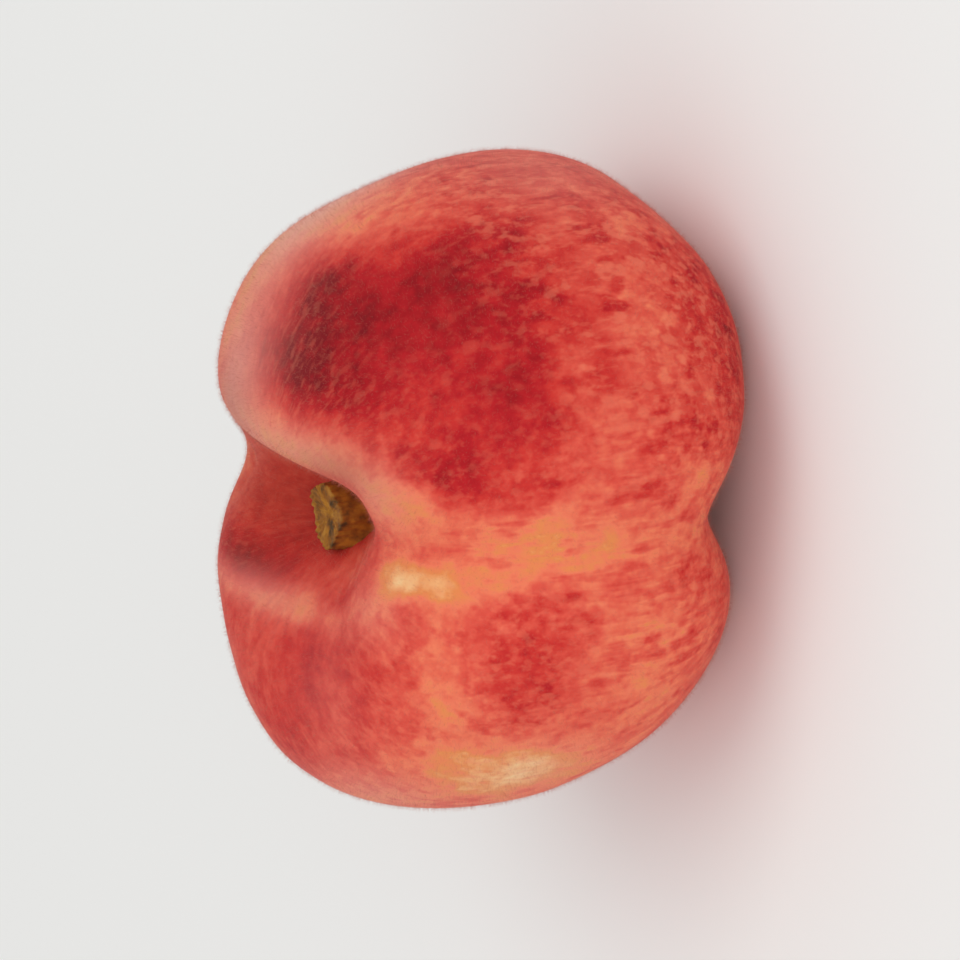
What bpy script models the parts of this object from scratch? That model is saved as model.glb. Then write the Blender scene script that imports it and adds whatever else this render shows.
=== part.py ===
"""A flat peach lying on its blossom end: the fruit, and the dry rest of its stalk in the stem cavity.

Metres, +Z up through the stem end. The suture faces -Y, the big lobe is at +X, the small lobe at -X.
Sizes below are in millimetres and angles in degrees, measured from the stem's axis and from the rim,
the fruit's widest line.
"""

import math

import bmesh
import bpy
from mathutils import Matrix, Vector

MM = 0.001

# How far the rim stands out from the stem's axis, to each side
RIM_BIG_LOBE = 33.5
RIM_SMALL_LOBE = 28.5
RIM_SUTURE = 32.3
RIM_BACK = 28.6

# How high the two faces stand over the rim, and how square the section is, where 2 is a round one. The
# section of the big lobe is rounder on the stem side and squarer on the blossom side than the small one's
STEM_FACE = 25.2
BLOSSOM_FACE = 22.3
SQUARENESS = 2.5
BIG_LOBE_STEM_SQUARER = -0.34
BIG_LOBE_BLOSSOM_SQUARER = 0.54

# How much further each lobe's shoulder and base stand out, and how far its widest line moves up
SHOULDER_BIG = 3.3
SHOULDER_SMALL = 1.0
BASE_BIG = 1.25
BASE_SMALL = 1.1
WIDEST_BIG = -0.1
WIDEST_SMALL = 2.5

# The valleys between the lobes: the suture's at the front, and a shallower one at the back
SUTURE_X = 1.2
SUTURE_DEPTH = {"shoulder": 4.5, "rim": 2.2, "base": 5.9}
SUTURE_HALF_WIDTH = 6.4
BACK_X = 3.3
BACK_DEPTH = {"shoulder": 5.15, "rim": 0.0, "base": 1.0}
BACK_HALF_WIDTH = 5.8
FULL_DEPTH_HEIGHT = 20.0
FRONT_TO_BACK = 4.0

# The stem cavity, longer along the suture than across it and steeper on the big lobe's side, with rounded
# corners between its walls and its ends, and the blossom dimple
CAVITY_DEPTH = 9.6
CAVITY_X = 2.1
CAVITY_TO_BIG_LOBE = 3.9
CAVITY_TO_SMALL_LOBE = 9.6
CAVITY_TO_SUTURE = 11.0
CAVITY_TO_BACK = 10.0
CAVITY_SQUARENESS = 5.0
DIMPLE_DEPTH = 5.0
DIMPLE_RADIUS = 10.0

# Where the fruit grew unevenly: places on the skin, and how far it stands out there, or in
UNEVEN_REACH = 7.0
UNEVEN = [
    ((1, 21, 15), 1.35),
    ((9, 14, 21), -0.55),
    ((-3, 19, 19), -0.8),
    ((23, 15, 16), 0.55),
    ((31, 9, 7), -0.45),
    ((33, 5, -4), 0.5),
    ((29, -6, -16), -0.6),
    ((19, -17, -19), 0.65),
    ((-25, -14, -4), -0.35),
]

# How the fruit lies: it leans until both lobes touch, on spots pressed this far into them
LEAN = 4.8
PRESSED = 0.45

# The stub of the stalk: torn off a little way up, ridged by its fibres, and clear of the skin
STUB_X = 0.7
STUB_FOOT_RADIUS = 3.4
STUB_TOP_RADIUS = 3.1
STUB_HEIGHT = 4.7
STUB_RIDGES = 5
STUB_RIDGE = 0.2
STUB_TORN = 0.3
STUB_GAP = 0.5

SECTORS = 96
RINGS_A_SIDE = 28
STUB_SECTORS = 30
STUB_RINGS = 4


def around(azimuth, big, small, back, front):
    """A size that is big at +X, small at -X, back at +Y and front at -Y, with smooth turns between."""
    mean = (big + small + back + front) / 4
    oval = (big + small - back - front) / 4
    sideways = (big - small) / 2 * math.cos(azimuth)
    endways = (back - front) / 2 * math.sin(azimuth)
    return mean + sideways + endways + oval * math.cos(2 * azimuth)


def on_lobes(azimuth, big, small):
    """A size that is big in the middle of the big lobe, small on the small one, and 0 at the valleys."""
    toward = math.cos(azimuth)
    return big * max(toward, 0) ** 2 + small * max(-toward, 0) ** 2


def valley_depth(point):
    """How far the valleys press the skin in at a point of the plain body."""
    x, y, z = point
    above = min(max(z / FULL_DEPTH_HEIGHT, 0), 1) ** 1.6
    below = min(max(-z / FULL_DEPTH_HEIGHT, 0), 1) ** 1.6

    def along(depth):
        rim = depth["rim"]
        return rim + (depth["shoulder"] - rim) * above + (depth["base"] - rim) * below

    front = along(SUTURE_DEPTH) * math.exp(-((abs(x - SUTURE_X) / SUTURE_HALF_WIDTH) ** 1.7))
    back = along(BACK_DEPTH) * math.exp(-(((x - BACK_X) / BACK_HALF_WIDTH) ** 2))
    frontness = 1 / (1 + math.exp(y / FRONT_TO_BACK))
    return front * frontness + back * (1 - frontness)


def uneven(point):
    """How far the skin stands out, or in, where the fruit grew unevenly."""
    standing = 0.0
    for place, height in UNEVEN:
        away = (point - Vector(place)).length / UNEVEN_REACH
        standing += height * math.exp(-(away**2))
    return standing


def skin_point(polar, azimuth):
    """A point of the skin: polar runs from 0 at the stem end to pi at the blossom end."""
    stem_side = polar <= math.pi / 2
    squarer = BIG_LOBE_STEM_SQUARER if stem_side else BIG_LOBE_BLOSSOM_SQUARER
    square = SQUARENESS + squarer * math.cos(azimuth)
    outward = abs(math.sin(polar)) ** (2 / square)
    upward = abs(math.cos(polar)) ** (2 / square)

    rim = around(azimuth, RIM_BIG_LOBE, RIM_SMALL_LOBE, RIM_BACK, RIM_SUTURE)
    if stem_side:
        z = (STEM_FACE + on_lobes(azimuth, SHOULDER_BIG, SHOULDER_SMALL) * outward**2) * upward
    else:
        z = -(BLOSSOM_FACE + on_lobes(azimuth, BASE_BIG, BASE_SMALL) * outward**2) * upward
    z += on_lobes(azimuth, WIDEST_BIG, WIDEST_SMALL) * outward**3
    point = Vector((rim * outward * math.cos(azimuth), rim * outward * math.sin(azimuth), z))
    point *= 1 - valley_depth(point) / point.length

    if stem_side:
        across = point.x - CAVITY_X
        wall = CAVITY_TO_BIG_LOBE if across > 0 else CAVITY_TO_SMALL_LOBE
        end = CAVITY_TO_BACK if point.y > 0 else CAVITY_TO_SUTURE
        away = abs(across / wall) ** CAVITY_SQUARENESS + abs(point.y / end) ** CAVITY_SQUARENESS
        point.z -= CAVITY_DEPTH * math.exp(-(away ** (1.8 / CAVITY_SQUARENESS)))
    else:
        away = (point.x**2 + point.y**2) / DIMPLE_RADIUS**2
        point.z += DIMPLE_DEPTH * math.exp(-(away**0.9))
    return point * (1 + uneven(point) / point.length)


def add_rings(mesh, rings):
    """Joins rings of points, each as long as the next; a ring of one point closes that end."""
    rows = [[mesh.verts.new(point) for point in ring] for ring in rings]
    for upper, lower in zip(rows, rows[1:]):
        count = max(len(upper), len(lower))
        for i in range(count):
            j = (i + 1) % count
            near = (upper[i % len(upper)], lower[i % len(lower)])
            beside = (lower[j % len(lower)], upper[j % len(upper)])
            mesh.faces.new(dict.fromkeys([*near, *beside]))


def fruit_mesh():
    """The fruit's closed skin, in its own axes."""
    mesh = bmesh.new()
    stem_side = [math.pi / 2 * (ring / RINGS_A_SIDE) ** (SQUARENESS / 2) for ring in range(1, RINGS_A_SIDE)]
    polars = [*stem_side, math.pi / 2, *(math.pi - polar for polar in reversed(stem_side))]
    turns = [2 * math.pi * sector / SECTORS for sector in range(SECTORS)]
    rings = [[skin_point(polar, turn) for turn in turns] for polar in polars]
    rings = [[skin_point(0, 0)], *rings, [skin_point(math.pi, 0)]]
    add_rings(mesh, rings)
    return mesh


def lie_down(points):
    """The move from the fruit's own axes to how it lies: leaning, its base's middle at the origin."""
    lean = Matrix.Rotation(-math.radians(LEAN), 4, "Y")
    leaning = [lean @ point for point in points]
    low = Vector([min(point[axis] for point in leaning) for axis in range(3)])
    high = Vector([max(point[axis] for point in leaning) for axis in range(3)])
    base = Vector(((low.x + high.x) / 2, (low.y + high.y) / 2, low.z + PRESSED))
    return Matrix.Scale(MM, 4) @ Matrix.Translation(-base) @ lean


def press_flat(mesh):
    """Cuts the base off level at z = 0, and closes each spot with one flat face."""
    parts = mesh.verts[:] + mesh.edges[:] + mesh.faces[:]
    cut = bmesh.ops.bisect_plane(
        mesh, geom=parts, dist=1e-7, plane_co=(0, 0, 0), plane_no=(0, 0, -1), clear_outer=True
    )
    edges = [item for item in cut["geom_cut"] if isinstance(item, bmesh.types.BMEdge)]
    bmesh.ops.holes_fill(mesh, edges=edges, sides=0)


def cavity_floor(x, y):
    """The height just clear of the skin over a place in the bottom of the stem cavity."""
    near = 0.0
    far = math.pi / 4
    for _ in range(40):
        middle = (near + far) / 2
        if skin_point(middle, math.atan2(y, x)).xy.length < math.hypot(x, y):
            near = middle
        else:
            far = middle
    return skin_point(near, math.atan2(y, x)).z + STUB_GAP


def stub_foot(radius, azimuth):
    """A point of the stub's underside, which follows the floor of the cavity."""
    x = STUB_X + radius * math.cos(azimuth)
    y = radius * math.sin(azimuth)
    return Vector((x, y, cavity_floor(x, y)))


def stub_point(height, azimuth):
    """A point of the stub's side, at a height from 0 at its foot to 1 at its torn top."""
    taper = STUB_FOOT_RADIUS + (STUB_TOP_RADIUS - STUB_FOOT_RADIUS) * height**0.6
    radius = taper + STUB_RIDGE * math.cos(STUB_RIDGES * azimuth + height)
    foot = stub_foot(radius, azimuth)
    top = stub_foot(0, 0).z + STUB_HEIGHT + STUB_TORN * math.sin(2 * azimuth + 0.8)
    return Vector((foot.x, foot.y, foot.z + (top - foot.z) * height))


def stub_mesh():
    """The stub: its foot follows the cavity, its sides taper, and its torn top is a little hollow."""
    mesh = bmesh.new()
    turns = [2 * math.pi * sector / STUB_SECTORS for sector in range(STUB_SECTORS)]
    sides = [[stub_point(level / STUB_RINGS, turn) for turn in turns] for level in range(STUB_RINGS, -1, -1)]
    foot_rings = [[stub_foot(STUB_FOOT_RADIUS * share, turn) for turn in turns] for share in (0.67, 0.33)]
    foot_middle = stub_foot(0, 0)
    top_middle = foot_middle + Vector((0, 0, STUB_HEIGHT - STUB_TORN))
    top_ring = [top_middle.lerp(point, 0.6) for point in sides[0]]
    add_rings(mesh, [[top_middle], top_ring, *sides, *foot_rings, [foot_middle]])
    return mesh


def finish(name, color, roughness):
    """A dull natural surface."""
    material = bpy.data.materials.new(name)
    material.use_nodes = True
    surface = material.node_tree.nodes["Principled BSDF"]
    surface.inputs["Base Color"].default_value = color
    surface.inputs["Roughness"].default_value = roughness
    surface.inputs["Metallic"].default_value = 0.0
    material.diffuse_color = color
    return material


def add_piece(name, mesh, material, holder):
    """Makes a smooth-shaded object of the mesh, under the empty that holds the fruit's pieces."""
    bmesh.ops.recalc_face_normals(mesh, faces=mesh.faces)
    data = bpy.data.meshes.new(name)
    mesh.to_mesh(data)
    mesh.free()
    data.materials.append(material)
    data.shade_smooth()
    data.set_sharp_from_angle(angle=math.radians(40))
    piece = bpy.data.objects.new(name, data)
    piece.parent = holder
    bpy.context.collection.objects.link(piece)
    return piece


for thing in list(bpy.data.objects):
    bpy.data.objects.remove(thing, do_unlink=True)

flat_peach = bpy.data.objects.new("flat_peach", None)
bpy.context.collection.objects.link(flat_peach)

fruit = fruit_mesh()
lying = lie_down([vertex.co for vertex in fruit.verts])
fruit.transform(lying)
press_flat(fruit)
skin = finish("peach_skin", (0.57, 0.07, 0.05, 1.0), 0.75)
add_piece("peach", fruit, skin, flat_peach)

stub = stub_mesh()
stub.transform(lying)
dry_wood = finish("dry_stalk", (0.2, 0.08, 0.02, 1.0), 0.9)
add_piece("stem_stub", stub, dry_wood, flat_peach)
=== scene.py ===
"""A flat peach lying on its blossom end, seen with its suture towards the camera, in soft daylight."""

import math

import bpy
import numpy as np
from mathutils import Matrix, Vector


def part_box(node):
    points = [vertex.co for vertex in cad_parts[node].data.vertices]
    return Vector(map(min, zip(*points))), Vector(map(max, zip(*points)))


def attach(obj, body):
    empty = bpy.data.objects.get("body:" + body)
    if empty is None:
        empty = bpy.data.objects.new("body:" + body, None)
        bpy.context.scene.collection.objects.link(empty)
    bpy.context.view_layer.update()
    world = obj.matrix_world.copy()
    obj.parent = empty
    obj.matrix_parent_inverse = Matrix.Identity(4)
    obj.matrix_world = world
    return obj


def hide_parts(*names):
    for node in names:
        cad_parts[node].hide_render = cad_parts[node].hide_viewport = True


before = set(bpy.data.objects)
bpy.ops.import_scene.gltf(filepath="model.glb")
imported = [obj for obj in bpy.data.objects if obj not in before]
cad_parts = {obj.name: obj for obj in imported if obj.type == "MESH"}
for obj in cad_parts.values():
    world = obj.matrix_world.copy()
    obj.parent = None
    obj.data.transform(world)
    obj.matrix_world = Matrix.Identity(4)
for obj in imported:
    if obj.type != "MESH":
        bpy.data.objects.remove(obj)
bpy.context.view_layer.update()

# The fruit: one flattened body with a big and a small lobe, parted by the suture's valley at the front
# and a shallower one at the back. The skin is drawn in round the stem cavity and into the blossom
# dimple. It grew in one piece, so it is one closed surface, of the same sizes as the solid, in mm.

MM = 0.001
RIM_BIG_LOBE = 33.5
RIM_SMALL_LOBE = 28.5
RIM_SUTURE = 32.3
RIM_BACK = 28.6
STEM_FACE = 25.2
BLOSSOM_FACE = 22.3
SQUARENESS = 2.5
BIG_LOBE_STEM_SQUARER = -0.34
BIG_LOBE_BLOSSOM_SQUARER = 0.54
SHOULDER_BIG = 3.3
SHOULDER_SMALL = 1.0
BASE_BIG = 1.25
BASE_SMALL = 1.1
WIDEST_BIG = -0.1
WIDEST_SMALL = 2.5
SUTURE_X = 1.2
SUTURE_DEPTH = {"shoulder": 4.5, "rim": 2.2, "base": 5.9}
SUTURE_HALF_WIDTH = 6.4
BACK_X = 3.3
BACK_DEPTH = {"shoulder": 5.15, "rim": 0.0, "base": 1.0}
BACK_HALF_WIDTH = 5.8
FULL_DEPTH_HEIGHT = 20.0
FRONT_TO_BACK = 4.0
CAVITY_DEPTH = 9.6
CAVITY_X = 2.1
CAVITY_TO_BIG_LOBE = 3.9
CAVITY_TO_SMALL_LOBE = 9.6
CAVITY_TO_SUTURE = 11.0
CAVITY_TO_BACK = 10.0
CAVITY_SQUARENESS = 5.0
DIMPLE_DEPTH = 5.0
DIMPLE_RADIUS = 10.0
UNEVEN_REACH = 7.0
UNEVEN = [
    ((1, 21, 15), 1.35),
    ((9, 14, 21), -0.55),
    ((-3, 19, 19), -0.8),
    ((23, 15, 16), 0.55),
    ((31, 9, 7), -0.45),
    ((33, 5, -4), 0.5),
    ((29, -6, -16), -0.6),
    ((19, -17, -19), 0.65),
    ((-25, -14, -4), -0.35),
]
LEAN = 4.8

SKIN_SECTORS = 384
SKIN_RINGS_A_SIDE = 120
SWELLING = 0.16
PUCKER = 0.05
PUCKERS = 34
PUCKERS_FROM_AXIS = 8.5
PUCKERS_HALF_LENGTH = 3.0


def around(azimuth, big, small, back, front):
    """A size that is big at +X, small at -X, back at +Y and front at -Y, with smooth turns between."""
    mean = (big + small + back + front) / 4
    oval = (big + small - back - front) / 4
    sideways = (big - small) / 2 * np.cos(azimuth)
    endways = (back - front) / 2 * np.sin(azimuth)
    return mean + sideways + endways + oval * np.cos(2 * azimuth)


def on_lobes(azimuth, big, small):
    """A size that is big in the middle of the big lobe, small on the small one, and 0 at the valleys."""
    toward = np.cos(azimuth)
    return big * np.maximum(toward, 0) ** 2 + small * np.maximum(-toward, 0) ** 2


def valley_depth(points):
    """How far the valleys press the skin in at points of the plain body."""
    x, y, z = points.T
    above = np.clip(z / FULL_DEPTH_HEIGHT, 0, 1) ** 1.6
    below = np.clip(-z / FULL_DEPTH_HEIGHT, 0, 1) ** 1.6

    def along(depth):
        rim = depth["rim"]
        return rim + (depth["shoulder"] - rim) * above + (depth["base"] - rim) * below

    front = along(SUTURE_DEPTH) * np.exp(-((np.abs(x - SUTURE_X) / SUTURE_HALF_WIDTH) ** 1.7))
    back = along(BACK_DEPTH) * np.exp(-(((x - BACK_X) / BACK_HALF_WIDTH) ** 2))
    frontness = 1 / (1 + np.exp(y / FRONT_TO_BACK))
    return front * frontness + back * (1 - frontness)


def skin_points(polar, azimuth):
    """Points of the skin: polar runs from 0 at the stem end to pi at the blossom end."""
    stem_side = polar <= math.pi / 2
    squarer = np.where(stem_side, BIG_LOBE_STEM_SQUARER, BIG_LOBE_BLOSSOM_SQUARER)
    square = SQUARENESS + squarer * np.cos(azimuth)
    outward = np.abs(np.sin(polar)) ** (2 / square)
    upward = np.abs(np.cos(polar)) ** (2 / square)
    rim = around(azimuth, RIM_BIG_LOBE, RIM_SMALL_LOBE, RIM_BACK, RIM_SUTURE)
    above = (STEM_FACE + on_lobes(azimuth, SHOULDER_BIG, SHOULDER_SMALL) * outward**2) * upward
    below = -(BLOSSOM_FACE + on_lobes(azimuth, BASE_BIG, BASE_SMALL) * outward**2) * upward
    z = np.where(stem_side, above, below) + on_lobes(azimuth, WIDEST_BIG, WIDEST_SMALL) * outward**3
    points = np.stack([rim * outward * np.cos(azimuth), rim * outward * np.sin(azimuth), z], axis=1)
    points *= (1 - valley_depth(points) / np.linalg.norm(points, axis=1))[:, None]
    x, y = points[:, 0], points[:, 1]
    wall = np.where(x > CAVITY_X, CAVITY_TO_BIG_LOBE, CAVITY_TO_SMALL_LOBE)
    end = np.where(y > 0, CAVITY_TO_BACK, CAVITY_TO_SUTURE)
    across = np.abs((x - CAVITY_X) / wall) ** CAVITY_SQUARENESS
    cavity = (across + np.abs(y / end) ** CAVITY_SQUARENESS) ** (1.8 / CAVITY_SQUARENESS)
    dimple = ((x**2 + y**2) / DIMPLE_RADIUS**2) ** 0.9
    points[:, 2] += np.where(stem_side, -CAVITY_DEPTH * np.exp(-cavity), DIMPLE_DEPTH * np.exp(-dimple))
    standing = np.zeros(len(points))
    for place, height in UNEVEN:
        away = np.linalg.norm(points - np.array(place), axis=1) / UNEVEN_REACH
        standing += height * np.exp(-(away**2))
    return points * (1 + standing / np.linalg.norm(points, axis=1))[:, None]


def mesh_of_rings(name, rings, sectors, points):
    """A closed mesh of rings of points between two end points, which come first and last."""
    ring, sector = np.meshgrid(np.arange(rings - 1), np.arange(sectors), indexing="ij")
    beside = (sector + 1) % sectors
    first = 1 + ring * sectors
    next_ring = first + sectors
    quads = [first + sector, next_ring + sector, next_ring + beside, first + beside]
    faces = np.stack(quads, axis=-1).reshape(-1, 4).tolist()
    last = len(points) - 1
    for i in range(sectors):
        j = (i + 1) % sectors
        faces.append([0, 1 + i, 1 + j])
        faces.append([last, last - sectors + j, last - sectors + i])
    data = bpy.data.meshes.new(name)
    data.from_pydata(points.tolist(), [], faces)
    data.shade_smooth()
    data.update()
    piece = bpy.data.objects.new(name, data)
    bpy.context.collection.objects.link(piece)
    return piece


def swelling(points):
    """Low, slow unevenness, as flesh grows, from -1 to 1."""
    x, y, z = points.T
    broad = np.sin(x / 4.1 + 1.3) * np.sin(y / 4.7 + 0.4) * np.cos(z / 5.3 + 2.1)
    fine = np.sin(x / 1.9 + y / 3.1) * np.sin(y / 2.3 - z / 2.7 + 0.9)
    return 0.7 * broad + 0.3 * fine


stem_side = math.pi / 2 * (np.arange(1, SKIN_RINGS_A_SIDE) / SKIN_RINGS_A_SIDE) ** (SQUARENESS / 2)
polars = np.concatenate([stem_side, [math.pi / 2], math.pi - stem_side[::-1]])
turns = np.arange(SKIN_SECTORS) * 2 * math.pi / SKIN_SECTORS
grid_polar, grid_turn = (g.ravel() for g in np.meshgrid(polars, turns, indexing="ij"))
grid_polar = np.concatenate([[0.0], grid_polar, [math.pi]])
grid_turn = np.concatenate([[0.0], grid_turn, [0.0]])
skin = skin_points(grid_polar, grid_turn)

from_axis = np.hypot(skin[:, 0], skin[:, 1])
from_puckers = (from_axis - PUCKERS_FROM_AXIS) / PUCKERS_HALF_LENGTH
at_cavity = np.exp(-(from_puckers**2)) * (grid_polar < 1.2)
pucker = PUCKER * at_cavity * np.sin(PUCKERS * grid_turn + 1.5 * np.sin(3 * grid_turn))
outward = skin / np.linalg.norm(skin, axis=1)[:, None]
relief = SWELLING * swelling(skin) * np.clip(from_axis / 8, 0, 1)
skin += outward * relief[:, None]
skin[:, 2] += pucker

# The fruit leans until both lobes touch what it lies on, and then sits in the solid's box
lean = Matrix.Rotation(-math.radians(LEAN), 3, "Y")
skin = skin @ np.array(lean).T
low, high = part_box("peach")
own_low, own_high = skin.min(axis=0), skin.max(axis=0)
cad_middle = (np.array(low) + np.array(high)) / 2 / MM
skin_offset = cad_middle - (own_low + own_high) / 2
skin_offset[2] = high.z / MM - own_high[2]
skin += skin_offset
skin[:, 2] = np.maximum(skin[:, 2], 0)

peach = mesh_of_rings("peach_skin", len(polars), SKIN_SECTORS, skin * MM)
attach(peach, "root")
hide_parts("peach")

# The blush: red laid over the cream and orange of the ripe skin, thinner or thicker from place to
# place. Each patch pulls the depth of red towards its own level, from 0, bare, to 1, crimson.
# Each line has a patch's name, its place in mm, how far it reaches each way, and its level. A later
# patch lies over the earlier ones.

BLUSH_ALL_OVER = 0.58
CLEAR_EDGE = 2.4
blush_patches = [
    ("top of the big lobe", (30, -4, 22), (12, 16, 14), 0.64),
    ("salmon shoulder of the big lobe", (27, -1, 35), (6, 9, 7), 0.41),
    ("blossom side of the big lobe", (16, -26, 15), (12, 11, 10), 0.58),
    ("dark edge by the blossom end", (20, -20, 5), (10, 8, 5), 0.72),
    ("middle of the big lobe", (13, -25, 31), (9, 7, 7), 0.80),
    ("red beside the suture", (6.5, -23.5, 36), (3.8, 5, 5), 0.81),
    ("crimson cheek", (21, -16.5, 33), (9.5, 9.5, 10), 0.89),
    ("heart of the cheek", (18.5, -8, 40), (6, 9, 4.5), 0.98),
    ("crimson by the cavity", (14, -8, 42.5), (5.5, 10.5, 4), 0.96),
    ("pale shoulder of the big lobe", (20, 13, 39), (14, 9.5, 10), 0.34),
    ("rim of the cavity", (4.6, -3, 43), (3.4, 14, 3), 0.36),
    ("neck of the big lobe", (0.8, -18.5, 38), (4.4, 5.5, 4.5), 0.38),
    ("suture band", (-1.5, -28, 25), (4.3, 7, 11), 0.32),
    ("suture band by the blossom end", (0.5, -28, 11), (5, 8, 6), 0.50),
    ("beside the band by the blossom end", (-7, -27, 11), (3, 6, 5), 0.70),
    ("small lobe by the stem", (-17, -8, 41), (9, 11, 5), 0.68),
    ("low shoulder of the small lobe", (-25, -2, 39), (5, 8, 5), 0.72),
    ("small lobe's red cheek", (-12, -28, 27), (6.5, 6, 6.5), 0.70),
    ("small lobe's blossom side", (-15, -27, 14), (12, 8, 8), 0.44),
    ("pale bar of the small lobe", (-14.5, -23, 34.5), (10, 2.2, 3), 0.43),
    ("pink by the stem", (-8.6, -15.4, 39.6), (2.6, 4.5, 3), 0.46),
    ("cream saddle", (-5.4, -18.0, 37.2), (1.6, 4.0, 3.0), 0.15),
    ("yellow below the saddle", (-5.3, -21.5, 35.3), (1.6, 3.4, 3.0), 0.20),
    ("orange below the saddle", (-4, -25, 32), (2.8, 3, 3.4), 0.35),
    ("orange round the low cream", (-26, -18, 25), (6, 11, 11), 0.40),
    ("cream under the small lobe", (-25.2, -20, 25.5), (4.2, 5.5, 8), 0.17),
    ("low edge of the small lobe", (-29, -9, 33), (4, 9, 7), 0.45),
    ("pale stripe behind the stem", (-11.3, 7, 40.5), (1.6, 14, 3.4), 0.26),
    # The wall and back of the cavity: partly the skin's own dusky red, partly painted shade, set darker
    # where the rim shades them
    ("red wall of the cavity", (-4.4, 8, 36), (4.4, 11, 4), 0.76),
    ("dusky back of the cavity", (-8.8, 12, 40), (3.0, 9, 3.8), 0.94),
    ("orange far wall", (-1, 21.5, 34), (2.5, 4, 4), 0.48),
    ("ground round the blossom dimple", (0, 2, 3), (13, 13, 6), 0.22),
    ("thin blush at the back", (-14, 24, 20), (12, 10, 12), 0.42),
    ("red back of the big lobe", (20, 20, 20), (12, 10, 11), 0.68),
]


def patched(everywhere, patches, edge):
    """A value for each point of the skin: the same everywhere, but pulled to a level in each patch.

    A patch fades to nothing past its reach, the more sharply the higher its edge.
    """
    values = np.full(len(skin), float(everywhere))
    for _, place, reach, level in patches:
        away = np.sqrt((((skin - np.array(place)) / np.array(reach)) ** 2).sum(axis=1))
        values += (level - values) * np.exp(-(away**edge))
    return values


# The bloom and painted sheen: a dusty grey-pink film where the down lies thick, as round the stem cavity
# and on the shoulder that turns away from the sun, with painted sheen in it where the down is seen
# edge-on and catches the light, along the far edge of the big lobe and the rim of the cavity. It has no
# edge that shows, so its patches fade slowly.

SLOW_EDGE = 2.0
bloom_and_sheen_patches = [
    ("rim of the cavity", (5, -3, 43), (2.8, 14, 2.8), 0.30),
    ("neck of the big lobe", (2, -16, 40), (4, 5, 3.4), 0.22),
    ("shoulder over the cavity", (10.5, 6.5, 43.5), (8, 7.5, 4), 0.46),
    ("far edge of the big lobe", (26, 8.5, 35), (10, 7.5, 10), 0.66),
    ("top edge of the big lobe", (31, -5, 17), (4, 10, 9), 0.16),
    ("pale stripe behind the stem", (-11.4, 8, 40.5), (1.9, 14, 3.4), 0.24),
    ("pink by the stem", (-8.6, -15.4, 39.6), (3, 5, 3), 0.14),
    ("middle of the small lobe", (-18, -10, 40), (6, 6, 4), 0.10),
    ("low edge of the small lobe", (-28, -8, 34), (4, 9, 6), 0.25),
    ("cream under the small lobe", (-25, -19.5, 23), (4, 6, 6), 0.20),
]

# The tan and painted shade: brown laid over the skin in the cavity and under its rim, partly browner skin
# where little sun falls and partly painted shade where the rim shades the wall.

tan_and_shade_patches = [
    ("wall of the cavity", (-3, 11, 36), (7, 14, 6), 0.34),
    ("under the cavity's rim", (4.0, -12, 41.8), (2.8, 6.5, 2.8), 0.42),
    ("far end of the cavity's rim", (6.5, 8, 43.5), (4, 6, 3), 0.44),
]

# Flecks: small salmon and red marks, thick on the big lobe's top and blossom side and rare in the
# crimson. Streaks: fine darker lines along the growth, from the stem to the blossom end.

FLECKED_ALL_OVER = 0.6
fleck_patches = [
    ("top of the big lobe", (29, -8, 24), (13, 15, 12), 1.0),
    ("blossom side of the big lobe", (22, -24, 14), (13, 12, 11), 1.0),
    ("crimson cheek", (20, -14, 36), (10, 11, 10), 0.0),
    ("middle of the big lobe", (13, -25, 32), (9, 7, 8), 0.22),
    ("pale shoulder", (17, 9, 41), (13, 12, 8), 0.10),
    ("small lobe by the stem", (-14, 0, 40), (12, 18, 6), 0.0),
    ("cavity", (2, 2, 38), (9, 18, 8), 0.0),
    ("suture band", (-1.5, -26, 26), (4.5, 9, 15), 0.10),
    ("cream saddle", (-4.3, -20, 36), (4, 5, 4), 0.15),
]
streak_patches = [
    ("suture band", (-1, -27, 23), (5, 9, 15), 1.0),
    ("small lobe beside the suture", (-9, -28, 14), (6, 7, 9), 1.0),
    ("big lobe beside the suture", (7, -28, 16), (8, 7, 10), 0.7),
    ("blossom side", (0, -10, 4), (30, 25, 7), 0.8),
]

# The way along the skin: mm round the fruit, and mm from the stem end, pressed together so that a
# streak or a fleck comes out that much longer than it is wide
STREAK_LENGTHENING = 5.0
FLECK_LENGTHENING = 1.6
round_x = RIM_SUTURE * np.cos(grid_turn)
round_y = RIM_SUTURE * np.sin(grid_turn)
from_stem = RIM_SUTURE * grid_polar
streak_way = np.stack([round_x, round_y, from_stem / STREAK_LENGTHENING], axis=1)
fleck_way = np.stack([round_x, round_y, from_stem / FLECK_LENGTHENING], axis=1)


def store(piece, name, values):
    """Keeps a number or a vector for each point of a piece, for its material to read."""
    vector = values.ndim == 2
    kept = piece.data.attributes.new(name, "FLOAT_VECTOR" if vector else "FLOAT", "POINT")
    kept.data.foreach_set("vector" if vector else "value", values.astype(np.float32).ravel())


store(peach, "blush", patched(BLUSH_ALL_OVER, blush_patches, CLEAR_EDGE))
# Bloom, with painted sheen where the down is seen edge-on
store(peach, "bloom_and_painted_sheen", patched(0.0, bloom_and_sheen_patches, SLOW_EDGE))
store(peach, "flecked", patched(FLECKED_ALL_OVER, fleck_patches, CLEAR_EDGE))
store(peach, "streaked", patched(0.0, streak_patches, CLEAR_EDGE))
store(peach, "streak_way", streak_way)
store(peach, "fleck_way", fleck_way)
# Tan, with painted shade in the cavity and under its rim
store(peach, "tan_and_painted_shade", patched(0.0, tan_and_shade_patches, SLOW_EDGE))

# The skin's material: ripe peach skin, grown with short down on it. It is dull, lets a little light
# into the flesh, and pales where it is seen edge-on.


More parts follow.
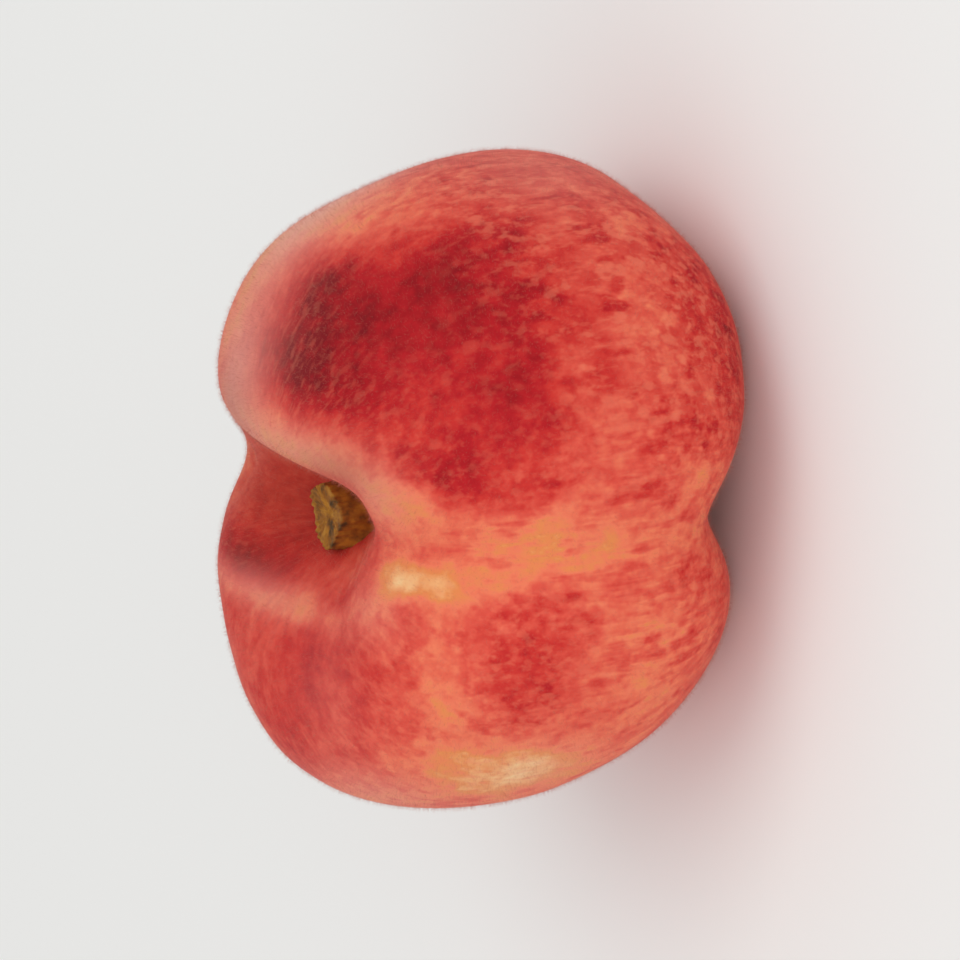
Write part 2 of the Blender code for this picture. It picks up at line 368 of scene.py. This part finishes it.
def from_hex(code):
    """A colour written as sRGB hex, as linear red, green, blue and alpha."""
    parts = [int(code[i : i + 2], 16) / 255 for i in (1, 3, 5)]
    return [c / 12.92 if c <= 0.04045 else ((c + 0.055) / 1.055) ** 2.4 for c in parts] + [1.0]


def add(material, kind, inputs=(), **settings):
    """Adds a node: settings are its own, and each input is a value or another node's output."""
    node = material.node_tree.nodes.new(kind)
    for name, value in settings.items():
        setattr(node, name, value)
    for name, value in dict(inputs).items():
        if isinstance(value, bpy.types.NodeSocket):
            material.node_tree.links.new(value, node.inputs[name])
        else:
            node.inputs[name].default_value = value
    return node


def start_material(name, color, roughness, ior):
    """A material with a Principled surface, and that surface."""
    material = bpy.data.materials.new(name)
    material.use_nodes = True
    surface = material.node_tree.nodes["Principled BSDF"]
    surface.inputs["Base Color"].default_value = from_hex(color)
    surface.inputs["Roughness"].default_value = roughness
    surface.inputs["IOR"].default_value = ior
    return material, surface


downy_skin, surface = start_material("downy_peach_skin", "#C8402F", 0.62, 1.4)
surface.inputs["Subsurface Weight"].default_value = 0.10
surface.inputs["Subsurface Radius"].default_value = (1.0, 0.35, 0.18)
surface.inputs["Subsurface Scale"].default_value = 1.2 * MM
surface.inputs["Sheen Weight"].default_value = 0.14
surface.inputs["Sheen Roughness"].default_value = 0.18
surface.inputs["Sheen Tint"].default_value = from_hex("#FFDCD0")
surface.inputs["Specular IOR Level"].default_value = 0.15


def in_mm(material):
    """A point's place in the fruit's frame, in mm."""
    place = add(material, "ShaderNodeTexCoord").outputs["Object"]
    scaled = add(material, "ShaderNodeVectorMath", {0: place, 1: (1 / MM,) * 3}, operation="MULTIPLY")
    return scaled.outputs["Vector"]


skin_place = in_mm(downy_skin)
kept_values = {}
for name in ("blush", "bloom_and_painted_sheen", "tan_and_painted_shade", "flecked", "streaked"):
    kept_values[name] = add(downy_skin, "ShaderNodeAttribute", attribute_name=name).outputs["Fac"]
for name in ("streak_way", "fleck_way"):
    kept_values[name] = add(downy_skin, "ShaderNodeAttribute", attribute_name=name).outputs["Vector"]
streak_place, fleck_place = kept_values["streak_way"], kept_values["fleck_way"]
flecked, streaked = kept_values["flecked"], kept_values["streaked"]

SEED_STEP = 3.7


def noise_marks(way, size, span, seed):
    """Marks of this size in mm, from 0 between them to 1 on them: span is the part of the noise shown."""
    noise = add(
        downy_skin,
        "ShaderNodeTexNoise",
        {"Vector": way, "W": SEED_STEP * seed, "Scale": 1 / size, "Detail": 2.0, "Roughness": 0.5},
        noise_dimensions="4D",
    )
    shown = {"Value": noise.outputs["Fac"], "From Min": span[0], "From Max": span[1]}
    return add(downy_skin, "ShaderNodeMapRange", shown, interpolation_type="SMOOTHSTEP").outputs["Result"]


# Each layer of marks: where it runs, its size in mm, the part of the noise that shows it, how much it
# moves the depth of the blush, and what thins it out from place to place
mark_layers = [
    (skin_place, 9.0, (0.25, 0.75), 0.09, None),
    (skin_place, 3.8, (0.25, 0.75), 0.12, None),
    (skin_place, 1.5, (0.32, 0.68), 0.08, None),
    (fleck_place, 1.8, (0.52, 0.68), 0.16, flecked),
    (fleck_place, 1.4, (0.50, 0.66), -0.10, flecked),
    (skin_place, 0.5, (0.30, 0.70), 0.03, None),
    (streak_place, 1.3, (0.46, 0.68), 0.16, streaked),
    (streak_place, 0.7, (0.48, 0.68), -0.08, streaked),
]
depth = kept_values["blush"]
for seed, (way, size, span, change, thinned) in enumerate(mark_layers):
    mark = noise_marks(way, size, span, seed)
    if thinned is None:
        mark = add(downy_skin, "ShaderNodeMath", {0: mark, 1: 0.5}, operation="SUBTRACT").outputs[0]
    else:
        mark = add(downy_skin, "ShaderNodeMath", {0: mark, 1: thinned}, operation="MULTIPLY").outputs[0]
    changed = {0: mark, 1: change, 2: depth}
    depth = add(downy_skin, "ShaderNodeMath", changed, operation="MULTIPLY_ADD").outputs[0]

# Bare skin to crimson, as the red thickens
blush_colors = [
    (0.00, "#F0CE96"),
    (0.15, "#ECB078"),
    (0.30, "#E28A50"),
    (0.42, "#EA7B5B"),
    (0.55, "#DD5646"),
    (0.68, "#CB342E"),
    (0.80, "#B41B22"),
    (0.90, "#9E121B"),
    (1.00, "#7E0F18"),
]
ramp = add(downy_skin, "ShaderNodeValToRGB", {"Fac": depth})
for end in (0, -1):
    position, code = blush_colors[end]
    ramp.color_ramp.elements[end].position = position
    ramp.color_ramp.elements[end].color = from_hex(code)
for position, code in blush_colors[1:-1]:
    ramp.color_ramp.elements.new(position).color = from_hex(code)

# Salmon flecks, larger and smaller ones: how far each covers the blush, at the most
LARGE_FLECKS = 0.50
SMALL_FLECKS = 0.30
large = {0: noise_marks(fleck_place, 1.0, (0.50, 0.66), 11), 1: LARGE_FLECKS}
small = {0: noise_marks(fleck_place, 0.6, (0.52, 0.68), 12), 1: SMALL_FLECKS}
large_flecks = add(downy_skin, "ShaderNodeMath", large, operation="MULTIPLY").outputs[0]
small_flecks = add(downy_skin, "ShaderNodeMath", small, operation="MULTIPLY").outputs[0]
either = {0: large_flecks, 1: small_flecks}
flecks = add(downy_skin, "ShaderNodeMath", either, operation="MAXIMUM").outputs[0]
fleck_share = add(downy_skin, "ShaderNodeMath", {0: flecks, 1: flecked}, operation="MULTIPLY").outputs[0]

# What lies over the blush, in turn: flecks, tan with painted shade, and bloom with painted sheen. The Mix
# node's sockets 0, 6 and 7 are its share and its two colours, and 2 is the outcome.
color = ramp.outputs["Color"]
for share, code in (
    (fleck_share, "#EA7E62"),
    # Brown of the cavity: partly the skin's own, partly painted shade
    (kept_values["tan_and_painted_shade"], "#7A4426"),
    # Grey-pink bloom, and painted sheen where the down is seen edge-on
    (kept_values["bloom_and_painted_sheen"], "#E0B0A2"),
):
    laid_over = {0: share, 6: color, 7: from_hex(code)}
    color = add(downy_skin, "ShaderNodeMix", laid_over, data_type="RGBA").outputs[2]
downy_skin.node_tree.links.new(color, surface.inputs["Base Color"])

# The pores are finer than shows, so they are drawn half a millimetre apart
PORE_SPACING = 0.5
PORE_DEPTH = 0.05
pore_noise = {"Vector": skin_place, "Scale": 1 / PORE_SPACING, "Detail": 2.0}
pores = add(downy_skin, "ShaderNodeTexNoise", pore_noise)
raised = {"Height": pores.outputs["Fac"], "Strength": 0.25, "Distance": PORE_DEPTH * MM}
pore_relief = add(downy_skin, "ShaderNodeBump", raised)
downy_skin.node_tree.links.new(pore_relief.outputs["Normal"], surface.inputs["Normal"])
peach.data.materials.append(downy_skin)

# The down: short pale hairs that stand all over the skin and catch the light at its edge. Real ones
# are 0.3 to 1 mm long and finer than shows, so these are fewer and thicker, each a slim spike.

HAIR_COATS = 2
HAIRS_A_COAT = 60000
HAIR_LENGTH = (0.3, 0.65)
HAIR_THICKNESS = 0.014
HAIR_LEAN = 0.55
HAIR_LEAST_RISE = 0.25
HAIR_ROOT = 0.05
HAIR_CLEAR_OF_FLOOR = 0.6


def skin_samples(random, count):
    """Points spread evenly over the skin, with the way out at each."""
    data = peach.data
    data.calc_loop_triangles()
    corners = np.zeros(len(data.loop_triangles) * 3, np.int32)
    data.loop_triangles.foreach_get("vertices", corners)
    corners = corners.reshape(-1, 3)
    normals = np.zeros(len(data.vertices) * 3, np.float32)
    data.vertices.foreach_get("normal", normals)
    normals = normals.reshape(-1, 3).astype(float)
    a, b, c = (skin[corners[:, i]] for i in range(3))
    area = np.linalg.norm(np.cross(b - a, c - a), axis=1)
    chosen = random.choice(len(corners), size=count, p=area / area.sum())
    share = random.dirichlet((1, 1, 1), size=count)
    points = (share[:, :, None] * skin[corners[chosen]]).sum(axis=1)
    out = (share[:, :, None] * normals[corners[chosen]]).sum(axis=1)
    return points, out / np.linalg.norm(out, axis=1)[:, None]


def add_down(name, seed):
    """One coat of down, as a mesh of three-sided spikes."""
    random = np.random.default_rng(seed)
    root, out = skin_samples(random, HAIRS_A_COAT)
    clear = root[:, 2] > HAIR_CLEAR_OF_FLOOR
    root, out = root[clear], out[clear]
    count = len(root)
    way = out + HAIR_LEAN * random.normal(size=(count, 3))
    way /= np.linalg.norm(way, axis=1)[:, None]
    way += out * np.maximum(HAIR_LEAST_RISE - (way * out).sum(axis=1), 0)[:, None]
    side = np.cross(way, random.normal(size=(count, 3)))
    side /= np.linalg.norm(side, axis=1)[:, None]
    other = np.cross(way, side)
    other /= np.linalg.norm(other, axis=1)[:, None]
    length = random.uniform(*HAIR_LENGTH, size=count)[:, None]
    points = [root + way * length]
    for corner in range(3):
        turn = 2 * math.pi * corner / 3
        across = math.cos(turn) * side + math.sin(turn) * other
        points.append(root - out * HAIR_ROOT + across * HAIR_THICKNESS / 2)
    points = np.stack(points, axis=1).reshape(-1, 3) * MM
    start = 4 * np.arange(count)[:, None]
    faces = np.concatenate([start + np.array(f) for f in ((0, 1, 2), (0, 2, 3), (0, 3, 1))])
    data = bpy.data.meshes.new(name)
    data.from_pydata(points.tolist(), [], faces.tolist())
    data.update()
    coat = bpy.data.objects.new(name, data)
    bpy.context.collection.objects.link(coat)
    return coat


# Down hair: dry, hollow and dull. It is drawn in a dusty pink, because these hairs are thicker than
# real ones and would stand out if they were as pale.
down_hair, surface = start_material("pale_down", "#BE7465", 0.7, 1.5)
surface.inputs["Specular IOR Level"].default_value = 0.2
for coat_number in range(HAIR_COATS):
    coat = add_down(f"down_{coat_number + 1}", seed=11 + coat_number)
    coat.data.materials.append(down_hair)
    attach(coat, "root")

# The stub: the dry, woody rest of the stalk, torn off short, with the ends of its fibres round a
# small pith. It has grown on to the bottom of the cavity, so its foot meets the skin.

STUB_X = 0.7
STUB_FOOT_RADIUS = 3.4
STUB_TOP_RADIUS = 3.1
STUB_HEIGHT = 4.7
STUB_RIDGES = 5
STUB_RIDGE = 0.2
STUB_TORN = 0.3
STUB_GAP = 0.5
STUB_SUNK = 0.3
FIBRES = 26
FIBRE = 0.07
FIBRE_ENDS = 0.16
PITH_DEPTH = 0.25
PITH_ROUGHNESS = 0.09
STUB_SECTORS = 156
STUB_RINGS = 28


def cavity_floor(x, y):
    """The height of the skin at places in the bottom of the stem cavity."""
    radius, azimuth = np.hypot(x, y), np.arctan2(y, x)
    near = np.zeros(len(x))
    far = np.full(len(x), math.pi / 4)
    for _ in range(40):
        middle = (near + far) / 2
        points = skin_points(middle, azimuth)
        inside = np.hypot(points[:, 0], points[:, 1]) < radius
        near = np.where(inside, middle, near)
        far = np.where(inside, far, middle)
    return skin_points(near, azimuth)[:, 2]


stub_turns = np.arange(STUB_SECTORS) * 2 * math.pi / STUB_SECTORS
foot_height = cavity_floor(np.array([STUB_X]), np.zeros(1))[0]
torn_edge = STUB_TORN * np.sin(2 * stub_turns + 0.8)
fibre_ends = FIBRE_ENDS * np.sin(FIBRES * stub_turns) * np.sin(3 * stub_turns + 1)
top_height = foot_height + STUB_GAP + STUB_HEIGHT
top_edge = top_height + torn_edge + fibre_ends
stub_rings = []
for level in np.linspace(1, 0, STUB_RINGS):
    taper = STUB_FOOT_RADIUS + (STUB_TOP_RADIUS - STUB_FOOT_RADIUS) * level**0.6
    ridge = STUB_RIDGE * np.cos(STUB_RIDGES * stub_turns + level)
    fibre = FIBRE * np.cos(FIBRES * stub_turns + 2.5 * np.sin(2 * stub_turns + 3 * level))
    x = STUB_X + (taper + ridge + fibre) * np.cos(stub_turns)
    y = (taper + ridge + fibre) * np.sin(stub_turns)
    foot = cavity_floor(x, y) - STUB_SUNK
    stub_rings.append(np.stack([x, y, foot + (top_edge - foot) * level], axis=1))
top_middle = np.array([STUB_X, 0, top_height - STUB_TORN - PITH_DEPTH])
top_rings = []
for share in np.linspace(0.12, 0.92, 9):
    inner = top_middle + (stub_rings[0] - top_middle) * share
    rough = np.sin(9 * share + 5 * stub_turns) * np.sin(7 * stub_turns + 11 * share)
    inner[:, 2] += PITH_ROUGHNESS * rough
    top_rings.append(inner)
foot_middle = np.array([STUB_X, 0, foot_height - STUB_SUNK])
stub_points = np.concatenate([[top_middle], *top_rings, *stub_rings, [foot_middle]])
stub_points = stub_points @ np.array(lean).T + skin_offset
stub = mesh_of_rings("torn_stalk", len(top_rings) + len(stub_rings), STUB_SECTORS, stub_points * MM)
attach(stub, "root")
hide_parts("stem_stub")

# Dry twig wood, torn and weathered: ochre and quite dull, with darker spots about 1.3 mm apart
SPOT_SPACING = 1.3
dry_stalk, surface = start_material("dry_stalk_wood", "#97500F", 0.85, 1.5)
spot_noise = {"Vector": in_mm(dry_stalk), "Scale": 1 / SPOT_SPACING, "Detail": 4.0}
spots = add(dry_stalk, "ShaderNodeTexNoise", spot_noise)
stalk_ramp = add(dry_stalk, "ShaderNodeValToRGB", {"Fac": spots.outputs["Fac"]})
stalk_ramp.color_ramp.elements[0].position = 0.30
stalk_ramp.color_ramp.elements[0].color = from_hex("#4E3510")
stalk_ramp.color_ramp.elements[1].position = 0.62
stalk_ramp.color_ramp.elements[1].color = from_hex("#AE771C")
stalk_ramp.color_ramp.elements.new(0.44).color = from_hex("#8C560F")
dry_stalk.node_tree.links.new(stalk_ramp.outputs["Color"], surface.inputs["Base Color"])
stub.data.materials.append(dry_stalk)

# The stage: a wide pale floor, soft light from a big window overhead and from the camera's side,
# and the long lens that looks along the floor at the suture, turned so that the stem is at the left.

FLOOR_HALF = 3.0
FLOOR_LEVEL = -0.0001

corners = [(-1, -1), (1, -1), (1, 1), (-1, 1)]
floor_points = [(x * FLOOR_HALF, y * FLOOR_HALF, FLOOR_LEVEL) for x, y in corners]
floor_data = bpy.data.meshes.new("floor")
floor_data.from_pydata(floor_points, [], [(0, 1, 2, 3)])
floor = bpy.data.objects.new("floor", floor_data)
bpy.context.collection.objects.link(floor)

# Matt white paper: it has hardly any shine, and it throws soft light back under the fruit
paper, surface = start_material("white_paper", "#F2F2F0", 0.9, 1.5)
surface.inputs["Specular IOR Level"].default_value = 0.1
floor_data.materials.append(paper)

scene = bpy.context.scene
scene.view_settings.view_transform = "Standard"
world = bpy.data.worlds.new("soft_room")
world.use_nodes = True
world.node_tree.nodes["Background"].inputs["Color"].default_value = from_hex("#FFFFFF")
world.node_tree.nodes["Background"].inputs["Strength"].default_value = 0.70
scene.world = world

VIEW_AZIMUTH = 12.55
VIEW_ELEVATION = 26.27
VIEW_TURN = 93.3
VIEW_DISTANCE = 1.034
LENS = 400.0
aim = Vector((-0.0006, 0.00162, 0.01936))
towards = Vector((
    math.sin(math.radians(VIEW_AZIMUTH)) * math.cos(math.radians(VIEW_ELEVATION)),
    -math.cos(math.radians(VIEW_AZIMUTH)) * math.cos(math.radians(VIEW_ELEVATION)),
    math.sin(math.radians(VIEW_ELEVATION)),
))
camera_data = bpy.data.cameras.new("camera")
camera_data.lens = LENS
camera = bpy.data.objects.new("camera", camera_data)
bpy.context.collection.objects.link(camera)
upright = towards.to_track_quat("Z", "Y").to_matrix().to_4x4()
camera.matrix_world = (
    Matrix.Translation(aim + towards * VIEW_DISTANCE)
    @ upright
    @ Matrix.Rotation(-math.radians(VIEW_TURN), 4, "Z")
)
scene.camera = camera


def add_light(name, place, size, power):
    """A square soft light aimed at the fruit."""
    data = bpy.data.lights.new(name, "AREA")
    data.size = size
    data.energy = power
    light = bpy.data.objects.new(name, data)
    bpy.context.collection.objects.link(light)
    away = Vector(place)
    light.matrix_world = Matrix.Translation(away) @ away.to_track_quat("Z", "Y").to_matrix().to_4x4()


add_light("window_overhead", (0.5, -0.3, 1.1), 0.9, 3.1)
add_light("window_front", (0.40, -1.15, 0.45), 0.8, 2.8)
add_light("window_low", (-0.90, -0.80, 0.30), 0.8, 2.2)
